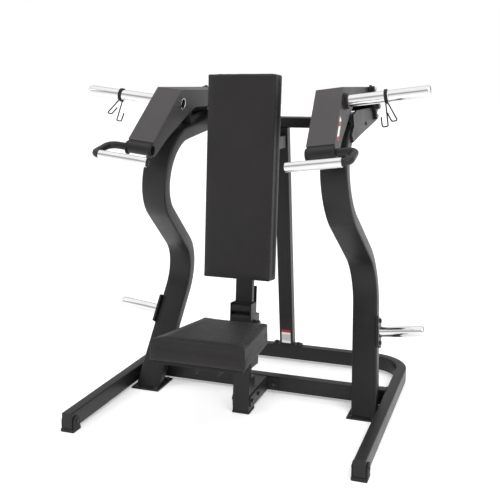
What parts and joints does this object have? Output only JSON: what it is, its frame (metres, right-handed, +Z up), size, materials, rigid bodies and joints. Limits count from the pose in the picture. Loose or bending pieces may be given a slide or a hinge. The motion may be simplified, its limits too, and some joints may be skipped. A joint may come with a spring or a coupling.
{
  "type": "plate-loaded shoulder press machine",
  "caption": "Seated shoulder press with two separate plate-loaded lever arms hinged high behind an adjustable seat and reclined back pad, on a bent-tube base.",
  "frame": {"origin": "on the floor, under the middle of the machine", "axes": "+X to the right as seen from the front, +Y from the front of the seat towards the rear crossbar, +Z up"},
  "size_m": [1.5928, 1.3097, 1.5543],
  "materials": {
    "black_paint": "satin powder coat",
    "cover_paint": "satin powder coat",
    "chrome": "polished",
    "zinc": "satin",
    "rubber": "matte",
    "clip_wire": "satin",
    "vinyl": "fine grained vinyl over foam",
    "board": "black painted plywood",
    "badge": "gloss",
    "label": "matte"
  },
  "bodies": {
    "frame": {"left_leg": "black_paint", "right_leg": "black_paint", "rear_crossbar": "black_paint", "front_crossbar": "black_paint", "left_foot": "rubber", "right_foot": "rubber", "foot_screws": "zinc", "rear_feet": "rubber", "left_base_plate": "black_paint", "right_base_plate": "black_paint", "base_bolts": "zinc", "left_post": "black_paint", "right_post": "black_paint", "left_ears": "black_paint", "right_ears": "black_paint", "left_bearings": "black_paint", "right_bearings": "black_paint", "bearing_bolts": "zinc", "left_shaft": "zinc", "right_shaft": "zinc", "top_crossbar": "black_paint", "rear_post": "black_paint", "rear_flange": "black_paint", "flange_bolts": "zinc", "label_plate": "label", "column": "black_paint", "column_foot": "rubber", "link_tube": "black_paint", "gussets": "black_paint", "gusset_bolts": "zinc", "back_link": "black_paint", "back_board": "board", "back_pad": "vinyl", "stops": "rubber", "left_peg": "chrome", "right_peg": "chrome", "peg_flanges": "black_paint", "peg_bolts": "zinc"},
    "seat": {"carriage": "black_paint", "rollers": "rubber", "seat_frame": "black_paint", "seat_board": "board", "seat_pad": "vinyl"},
    "pin": {"adjust_pin": "zinc"},
    "left_lever": {"left_arm": "black_paint", "left_cover": "cover_paint", "left_badge": "badge", "left_handle": "black_paint", "left_grip": "chrome", "left_horn": "chrome"},
    "right_lever": {"right_arm": "black_paint", "right_cover": "cover_paint", "right_badge": "badge", "right_handle": "black_paint", "right_grip": "chrome", "right_horn": "chrome"},
    "left_collar": {"left_clip": "clip_wire"},
    "right_collar": {"right_clip": "clip_wire"}
  },
  "joints": [
    {"name": "left_press", "type": "hinge", "parent": "frame", "child": "left_lever", "pos_m": [-0.38198, 0.53485, 1.40873], "axis": [-0.9925, 0, 0.1219], "range_deg": [0, 45]},
    {"name": "left_collar_slide", "type": "slide", "parent": "left_lever", "child": "left_collar", "axis": [-0.9925, 0, 0.1219], "range_m": [-0.12, 0.13]},
    {"name": "right_press", "type": "hinge", "parent": "frame", "child": "right_lever", "pos_m": [0.38198, 0.53485, 1.40873], "axis": [-0.9925, 0, -0.1219], "range_deg": [0, 45]},
    {"name": "right_collar_slide", "type": "slide", "parent": "right_lever", "child": "right_collar", "axis": [0.9925, 0, 0.1219], "range_m": [-0.12, 0.14]},
    {"name": "seat_height", "type": "slide", "parent": "frame", "child": "seat", "axis": [0, 0.0872, 0.9962], "range_m": [-0.05, 0.09]},
    {"name": "pin_pull", "type": "slide", "parent": "seat", "child": "pin", "axis": [1, 0, 0], "range_m": [0, 0.012], "stiffness_N_per_m": 900}
  ]
}
